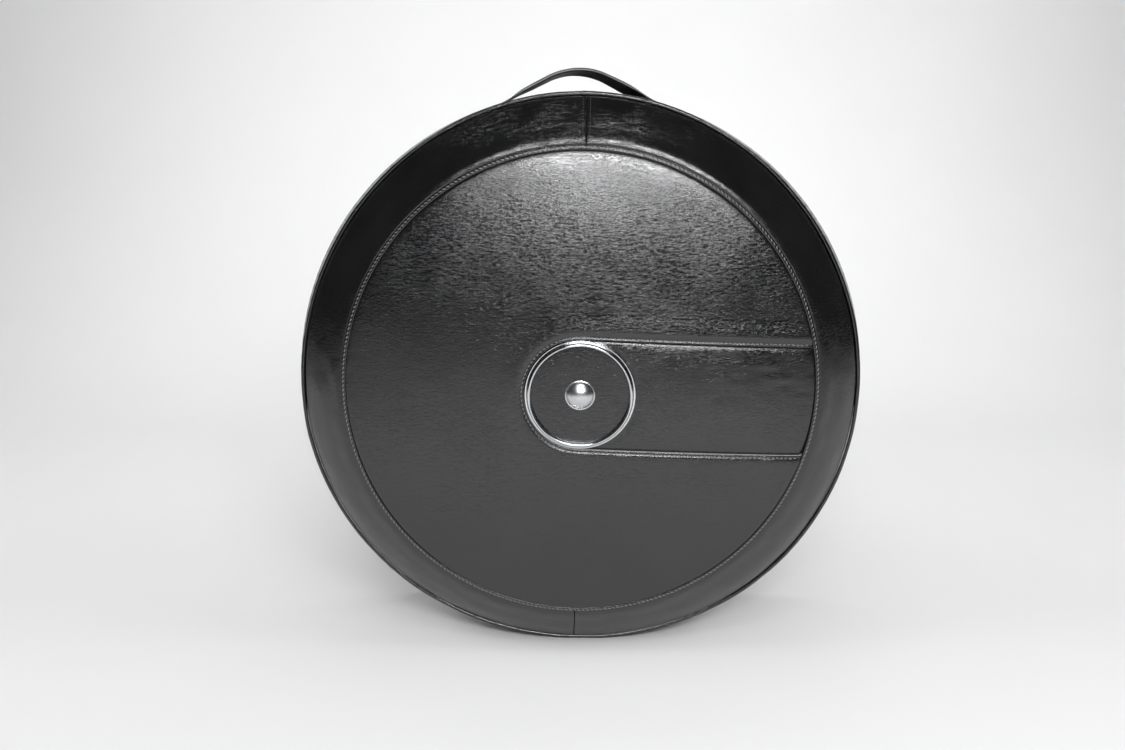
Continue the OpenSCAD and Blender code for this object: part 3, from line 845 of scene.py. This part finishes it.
def rear_surface(a, t):
    """The gathered rear panel at angle a and share t from the side wall's seam to the hem."""
    r = WALL_R - 1.0 - (WALL_R - 1.0 - HEM_R - HEM_TUBE) * t
    z = -WALL_W - 0.4 - (-HEM_Z - WALL_W - 1.0) * eased(t * 1.05) - 1.6 * np.sin(np.pi * t)
    phase = a * FOLDS + 1.3 * ring_noise(a, 21, 81) + 0.5 * t * ring_noise(a, 33, 82)
    sharp = np.sin(phase) + 0.28 * np.sin(2 * phase + 0.7) + 0.25 * ring_noise(a, 150, 83)
    depth = 3.4 * t**1.25 * (0.75 + 0.25 * ring_noise(a, 41, 84))
    d = t * REAR_DEPTH
    seam = -1.32 * np.exp(-d / 1.3) + 0.3 * hump(d - REAR_STITCH, 1.2)
    return r, z + depth * sharp - seam


def build_rear(side, word):
    t = np.concatenate([steps(1, 0.028, 0.004)[:-1], [1.0]])
    a = half_angles(side, WALL_R, 1.9, 0.3)
    r, z = rear_surface(a[None, :], t[:, None])
    # the hem: a ruched tube round the elastic
    around = math.radians(10) + np.linspace(0, 1, 17)[:, None] * math.radians(345)
    ruche = 0.7 * np.sin(a * 2.5 * FOLDS + 2 * ring_noise(a, 50, 85)) + 0.4 * ring_noise(a, 260, 86)
    tube_r = HEM_TUBE + ruche[None, :] * (0.6 + 0.4 * np.sin(around * 2))
    hem_mid = HEM_Z + 0.25 * (z[-1:] - HEM_Z)
    r = np.concatenate([r + 0 * z, HEM_R + tube_r * np.cos(around)])
    z = np.concatenate([z, hem_mid + tube_r * np.sin(around)])
    points = world_round(r, a, z, UNDERSIDE)
    rear = make_surface(f"rear_edge_{word}", points, WALL_LEATHER, f"rear_panel_{word}", backward)


# ---- Linings ----


def build_linings():
    at = SKIN + WALL_FOAM + 0.6
    z = -np.linspace(PIPING_R + 0.5, WALL_W - 1.6, 46)[:, None]
    a = np.linspace(0, TURN, 721)
    loose = 0.5 * plane_noise(np.sin(a)[None, :] * 140, z + 40 * np.cos(a), 24, 91)
    r = WALL_R - at - 0.4 + loose + 0.35 * ring_noise(a, 90, 92)
    points = world_round(r, a, z, FLOOR + at + 0.6)
    wall = make_lining("side_lining", points, "wall_lining", inward)
    s = np.linspace(3, SHOULDER_LENGTH - 12, 26)[:, None]
    r, z = shoulder_point(s + 0 * a, -SKIN - WALL_FOAM - 0.8 + 0.3 * ring_noise(a, 70, 93))
    cone = make_lining("shoulder_cloth", world_round(r, a, z), "shoulder_lining", backward)
    edge = DISC_R - 3.4
    r = np.concatenate([[0.5, 3, 8], np.linspace(14, edge, 74)])[:, None]
    flat = 0.35 * plane_noise(r * np.cos(a), r * np.sin(a), 42, 94)
    z = disc_z(r) - (SKIN + DISC_FOAM + BOARD_T + 1.0) - np.abs(flat)
    back = make_lining("front_lining", world_round(r, a, z), "face_lining", backward)


# ---- Stitches ----


def stitches(name, rows, replaces=(), length=4.6, radius=0.55, body="cover", skew=0.16):
    """Short raised stitches. Each row gives its stitches' centres, directions and outward ways."""
    centres, along, out = (np.concatenate(part) for part in zip(*rows))
    along, out = unit(along), unit(out)
    side = np.cross(along, out)
    along = along + skew * side
    sides, rings = 6, 6
    u = np.linspace(-1, 1, rings)[:, None]
    swell = np.sqrt(np.maximum(1 - (u * 0.97) ** 4, 0.02)) * radius
    turn = np.arange(sides) * TURN / sides
    ahead = u * length / 2 + 0 * turn
    up = swell * np.sin(turn) - 0.8 * u**4
    local = np.stack([ahead, swell * np.cos(turn), up], -1).reshape(-1, 3) * MM
    frames = np.stack([along, side, out], 1)
    points = centres[:, None] + np.einsum("pk,nkc->npc", local, frames)
    caps = np.array([list(range(sides))[::-1], list(range(sides * (rings - 1), sides * rings))])
    n = np.arange(len(centres))[:, None, None] * sides * rings
    quads = (grid_faces(rings, sides, wrap=True)[None] + n).reshape(-1, 4).tolist()
    ends = (caps[None] + n).reshape(-1, sides).tolist()
    return register(new_object(name, points, quads + ends, THREAD), replaces, body)


def spaced(points, pitch=STITCH_PITCH):
    """Stitch centres and directions a pitch apart along a line of points in the row frame."""
    d = np.linalg.norm(np.diff(points, axis=0), axis=1)
    at = np.concatenate([[0], np.cumsum(d)])
    n = max(2, int(at[-1] / MM / pitch))
    want = (np.arange(n) + 0.5) * at[-1] / n

    def sample(offset):
        return np.stack([np.interp(want + offset, at, points[:, k]) for k in range(3)], -1)

    return sample(0), sample(0.5 * MM) - sample(-0.5 * MM)


def row_facing(way, points, pitch=STITCH_PITCH):
    """A row of stitches along a line of points, all of which face one way."""
    centres, along = spaced(points, pitch)
    return centres, along, np.tile(way, (len(centres), 1))


def front_rows():
    """The stitching round the front disc's seam and along the band's folded edge."""
    a = np.linspace(0, TURN, 1200)
    x, y, z = shoulder_surface(np.full_like(a, STITCH_S), a)
    row = row_facing(FRONT_WAY, world_turned(x, y, z + 0.6, SHOULDER_TURN))
    stitches("disc_seam_stitches", [row], ["disc_seam_thread"], length=5.0, radius=0.85, skew=0.35)
    x, y = beside_band(*slot_boundary(3), BAND_STITCH)
    keep = np.hypot(x, y) < DISC_R - 6
    x, y = x[keep], y[keep]
    z = front_height(x, y) + band_swell(np.full_like(x, BAND_STITCH), x, y)
    row = row_facing(FRONT_WAY, world_turned(x, y, z + 0.65, BAND_TURN))
    stitches("band_stitches", [row], ["inset_seam_thread"], length=4.2, radius=0.85)


def join_rows():
    """The topstitching on both sides of the shoulder's and the side wall's joins."""
    s = np.linspace(FOLD_AT + 3, SHOULDER_LENGTH - 4, 60)
    z = -np.linspace(PIPING_R + 5, WALL_W - 6, 60)
    shoulder, wall = [], []
    for middle in (TOP, BOTTOM):
        for side in (-1, 1):
            a = np.full_like(s, middle + side * JOIN_ROW / SHOULDER_MID_R)
            x, y, front = shoulder_surface(s, a)
            line = world_turned(x, y, front - 0.15, SHOULDER_TURN)
            shoulder.append(row_facing([0, -0.78, 0.62 * math.sin(middle)], line, JOIN_PITCH))
            a = np.full_like(z, middle + side * JOIN_ROW / WALL_R)
            line = world_round(wall_surface(a, z), a, z, FLOOR + 0.4)
            wall.append(row_facing([0, 0, math.sin(middle)], line, JOIN_PITCH))
    stitches("shoulder_join_stitches", shoulder, ["shoulder_seam_threads"], length=3.4, radius=0.42)
    stitches("side_join_stitches", wall, length=3.6, radius=0.5)
    a = np.linspace(0, TURN, 1200)
    r, z = rear_surface(a, np.full_like(a, REAR_STITCH / REAR_DEPTH))
    row = row_facing([0.0, 1, 0], world_round(r, a, z - 0.2, FLOOR + 0.8))
    stitches("rear_stitches", [row], ["rear_seam_thread"])


# ---- Handle ----


def wall_top(x):
    """Height of the side wall's skin above the floor, in the handle's plane."""
    a = np.arccos(x / WALL_R)
    return wall_surface(a, np.full_like(a, HANDLE_Z)) * np.sin(a) - FLOOR


def strap_outline():
    """Half of the strap's middle line: x, height above the floor and thickness, from top to tail."""
    x = np.linspace(0, ROOT_END, 260)
    bend = np.sqrt(np.maximum(BEND_R**2 - np.minimum(x, BEND_X) ** 2, 0))
    arch = STRAP_TOP - STRAP_T / 2 - BEND_R + bend
    leg = arch - np.maximum(x - BEND_X, 0) * math.tan(LEG_SLOPE)
    thick = STRAP_T + (ROOT_T - STRAP_T) * eased((x - 68) / 26)
    ground = wall_top(x) + TAB_T + 0.2 + thick / 2
    soft = 1.6
    h = (leg + ground + np.sqrt((leg - ground) ** 2 + soft**2)) / 2
    # the end folds under itself, and its tail runs back along the wall
    fold_r = (ROOT_T + TAB_T) / 4 + 0.1
    turn = np.linspace(0, math.pi, 14)[1:]
    back_x = np.linspace(x[-1], 89, 40)[1:]
    px = np.concatenate([x, x[-1] + fold_r * np.sin(turn), back_x])
    ph = np.concatenate([h, h[-1] - fold_r * (1 - np.cos(turn)), wall_top(back_x) + 0.1 + TAB_T / 2])
    fold_thick = np.linspace(ROOT_T, TAB_T, len(turn))
    return px, ph, np.concatenate([thick, fold_thick, np.full(len(back_x), TAB_T)])


def strap_frames():
    """The whole strap from left to right: path, across and normal at each ring, and its thickness."""
    px, ph, thick = strap_outline()
    px = np.concatenate([-px[:0:-1], px])
    ph = np.concatenate([ph[:0:-1], ph])
    thick = np.concatenate([thick[:0:-1], thick])
    px = px - 5 * (1 - eased((np.abs(px) - 70) / 40))
    swing = 1 - eased((np.abs(px) - 62) / 44)
    lean = LEAN * swing
    twist = swing * np.radians(np.interp(px, [-90, -20, 55, 95], [-12, -7, 9, 9]))
    up = ph - PIVOT_Z
    path = np.stack([px, HANDLE_Y + up * np.sin(lean), PIVOT_Z + up * np.cos(lean)], -1)
    tangent = unit(np.gradient(path, axis=0))
    tilt = lean + twist
    across = np.stack([0 * tilt, np.cos(tilt), -np.sin(tilt)], -1)
    across = unit(across - np.sum(across * tangent, axis=1, keepdims=True) * tangent)
    return path, across, np.cross(tangent, across), thick


def build_strap():
    path, across, normal, thick = strap_frames()
    sides = 36
    t = np.arange(sides) * TURN / sides
    c, s = np.cos(t), np.sin(t)
    edge = np.abs(c) ** 0.13
    u = np.sign(c) * edge * STRAP_W / 2
    v = s * (1 - 0.16 * hump(edge - 0.78, 0.05) + 0.06 * (1 - edge**2))
    rings = path[:, None] + u[None, :, None] * across[:, None]
    rings = rings + v[None, :, None] * normal[:, None] * thick[:, None, None] / 2
    points = np.concatenate([stack(rings), path[:1], path[-1:]]) * MM
    n = len(path) * sides
    first = [[n, i, (i + 1) % sides] for i in range(sides)]
    last = [[n + 1, n - sides + (i + 1) % sides, n - sides + i] for i in range(sides)]
    faces = grid_faces(len(path), sides, wrap=True).tolist()
    strap = new_object("carry_strap", points, faces + first + last, STRAP_LEATHER)
    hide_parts("handle_strap", "handle_core", "handle_underside",
                "handle_root_left", "handle_root_right")
    bend_across_joint(strap)
    rows = []
    inner = slice(70, -70)
    for side in (-1, 1):
        line = path + across * side * STRAP_W * 0.39 + normal * thick[:, None] * 0.49
        centres, along = spaced(line[inner] * MM, 5)
        gaps = np.linalg.norm(centres[:, None] - path[inner][None] * MM, axis=2)
        rows.append((centres, along, normal[inner][np.argmin(gaps, axis=1)]))
    thread = stitches("strap_stitches", rows, body=None, length=3.6, radius=0.45)
    bend_across_joint(thread)


def bend_across_joint(piece):
    """Bakes the piece's placement into its mesh."""
    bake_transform(piece)


def build_box_stitches():
    """A sewn box with a cross in it on each of the strap's ends."""
    near, far, half = 104.0, 119.0, 11.0
    x = np.array([near, far, far, near, near, far, near, far])
    y = np.array([-half, -half, half, half, -half, half, half, -half])
    corners = np.arange(len(x))
    t = np.linspace(0, corners[-1], 200)
    px, py = np.interp(t, corners, x), np.interp(t, corners, y)
    h = wall_top(px) + TAB_T + ROOT_T + 0.3
    rows = []
    for side in (-1, 1):
        centres, along = spaced(np.stack([side * px, HANDLE_Y + py, h], -1) * MM, 4.2)
        tilt = np.arcsin(centres[:, 0] / MM / WALL_R)
        rows.append((centres, along, np.stack([np.sin(tilt), 0 * tilt, np.cos(tilt)], -1)))
    stitches("handle_box_stitches", rows, ["handle_threads"], length=3.4, radius=0.5)


def build_backing(word):
    """The patch behind one of the strap's ends: a rounded plate that follows the wall."""
    low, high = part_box(f"handle_patch_{word}")
    u, v = np.meshgrid(np.linspace(-1, 1, 25), np.linspace(-1, 1, 29), indexing="ij")
    x = (low.x + high.x) / 2 / MM + u * np.sqrt(1 - 0.09 * v**6) * (high.x - low.x) / 2 / MM
    y = (low.y + high.y) / 2 / MM + v * np.sqrt(1 - 0.09 * u**6) * (high.y - low.y) / 2 / MM
    edge = np.maximum(np.abs(u), np.abs(v))
    stitched = 1 - hump(edge - 0.8, 0.06) * 0.5
    r = WALL_R - SKIN - WALL_FOAM - 1.9 - BACKING_T * stitched * (1 - edge**12)
    h = r * np.sin(np.arccos(x / (WALL_R - 6))) - FLOOR
    top = np.stack([x, y, h], -1) * MM
    under = np.stack([x, y, h + BACKING_T], -1) * MM
    make(f"handle_backing_{word}", *slab(top, under), STRAP_LEATHER, "leatherette",
         [f"handle_patch_{word}"], towards=closed_outward)


# ---- Badge ----


def lathe(profile, count=240):
    """A closed ring or a dome from its section, as points and faces on the badge's axis."""
    a = np.linspace(0, TURN, count + 1)[:-1]
    r, z = np.array(profile).T
    x, y = turned(r[:, None] * np.cos(a), r[:, None] * np.sin(a) - BAND_DROP, BAND_TURN)
    return world(x, y, z[:, None] + 0 * x), grid_faces(len(r), count, wrap=True)


def build_badge():
    """The chrome ring and the satin dome in it, both turned from a section."""
    inner, outer = 64.2, 73.0
    seat = disc_z(inner - BAND_DROP) - BAND_RECESS + 0.1
    crest = [(inner + 3.3 - 3.1 * math.cos(t), seat + 1.4 + 5.8 * math.sin(t))
             for t in np.linspace(0.05, math.pi - 0.05, 30)]
    section = [(inner, seat - 0.5), (inner, seat + 1.2), *crest, (inner + 7.0, seat + 1.5),
               (inner + 7.7, seat + 1.45), (outer - 0.45, seat + 1.7), (outer - 0.1, seat + 1.45),
               (outer, seat + 1.1), (outer, seat - 0.5), (inner, seat - 0.5)]
    make("badge_ring_cast", *lathe(section), CHROME, "chrome", ["badge_ring"],
         towards=closed_outward, weld=True)
    base = SHOULDER_D + DISC_CROWN - BAND_RECESS + 0.1
    rim, rise = 18.2, 7.6
    ball = (rim**2 + rise**2) / (2 * rise)
    dome = [(ball * math.sin(t), base + 1.6 + rise - ball * (1 - math.cos(t)))
            for t in np.linspace(0.0001, math.asin(rim / ball), 26)]
    section = [*dome, (18.6, base + 1.3), (19.5, base + 1.5), (19.9, base + 1.2), (20, base + 0.8),
               (20, base - 0.8), (0.001, base - 0.8)]
    make("badge_dome_cast", *lathe(section, 160), SATIN_CHROME, "chrome", ["badge_dome"],
         towards=closed_outward, weld=True)


build_face()
build_band()
for side, word in SIDES:
    build_shoulder(side, word)
    build_wall(side, word)
    build_rear(side, word)
build_piping()
build_linings()
front_rows()
join_rows()
build_strap()
build_box_stitches()
for _, word in SIDES:
    build_backing(word)
build_badge()

# ---- The CAD pieces that stay ----

KEPT = {
    "stiffener_board": BOARD, "badge_backing_plate": BOARD,
    "badge_push_nuts": STEEL, "elastic_ferrule": STEEL,
    "disc_seam_binding": TAPE, "front_seam_binding": TAPE,
    "shoulder_tape_top": TAPE, "shoulder_tape_bottom": TAPE,
    "wall_tape_top": TAPE, "wall_tape_bottom": TAPE,
    "piping_cord": CORD, "hem_elastic": ELASTIC,
}
for name, material in KEPT.items():
    for slot in frame["nodes"][name].material_slots:
        slot.material = material

# ---- Stage, lights and camera ----


def build_stage():
    """A floor that curves up into a backdrop behind the cover."""
    front, back, radius, top, half = -3.6, 1.1, 1.2, 3.4, 3.6
    bend = np.linspace(0, math.pi / 2, 24)[1:]
    y = np.concatenate([np.linspace(front, back, 12), back + radius * np.sin(bend), [back + radius]])
    z = np.concatenate([np.zeros(12), radius * (1 - np.cos(bend)), [top]])
    points = np.stack(np.broadcast_arrays(np.linspace(-half, half, 9), y[:, None], z[:, None]), -1)
    n = Nodes("studio_paper")
    n.set(roughness=0.85, specular=0.2)
    paper = n.finish(n.mix(n.noise(n.at, 3, 3), (0.69, 0.69, 0.694), (0.72, 0.72, 0.724)))
    sweep = new_object("studio_sweep", points, grid_faces(*points.shape[:2]).tolist(), paper)


def area_light(name, place, aim, size, watts, glossy=True, spread=180):
    """A rectangular lamp at place that looks at aim; one that isn't glossy shows in no reflection."""
    light = bpy.data.lights.new(name, "AREA")
    light.shape = "RECTANGLE"
    light.size, light.size_y = size
    light.energy = watts
    light.spread = math.radians(spread)
    lamp = linked(name, light)
    lamp.location = place
    towards = Vector(aim) - Vector(place)
    lamp.rotation_mode = "QUATERNION"
    lamp.rotation_quaternion = towards.to_track_quat("-Z", "Y")
    lamp.visible_glossy = glossy


def build_light():
    """Three softboxes above the camera, and fills that no glossy surface shows."""
    area_light("softbox", (0.32, -2.3, 1.55), (0.1, 0, 0.45), (1.45, 0.8), 19)
    area_light("softbox_core", (0.24, -2.28, 1.47), (0.1, 0, 0.6), (1.1, 0.32), 36)
    area_light("softbox_high", (0.15, -1.75, 2.35), (0.05, 0, 0.6), (1.6, 0.7), 15)
    area_light("overhead", (0, -1.2, 2.9), (0, -0.8, 0), (2.6, 1.8), 14, glossy=False)
    area_light("front_fill", (0, -3.2, 1.0), (0, -0.3, 0.1), (2.4, 1.2), 10, glossy=False)
    for side, word in SIDES:
        place, aim = (side * 2.1, -0.3, 1.5), (side * 0.5, 0.3, 0.1)
        area_light(f"side_fill_{word}", place, aim, (1.2, 1.2), 22, glossy=False)
    area_light("backdrop_middle", (0, 0.8, 2.9), (0, 2.0, 0.5), (2.6, 0.6), 19, glossy=False, spread=100)
    sky = bpy.data.worlds.new("studio")
    sky.use_nodes = True
    sky.node_tree.nodes["Background"].inputs["Color"].default_value = (0.03, 0.03, 0.031, 1)
    bpy.context.scene.world = sky


def build_camera():
    data = bpy.data.cameras.new("camera")
    data.sensor_width = 36
    data.lens = 36.64
    camera = linked("camera", data)
    camera.location = (-0.0084, -1.5935, 0.7294)
    pitch, yaw = math.radians(12.46), math.radians(0.58)
    camera.rotation_euler = (math.pi / 2 - pitch, 0, yaw)
    bpy.context.scene.camera = camera


build_stage()
build_light()
build_camera()
bpy.context.scene.view_settings.view_transform = "Standard"
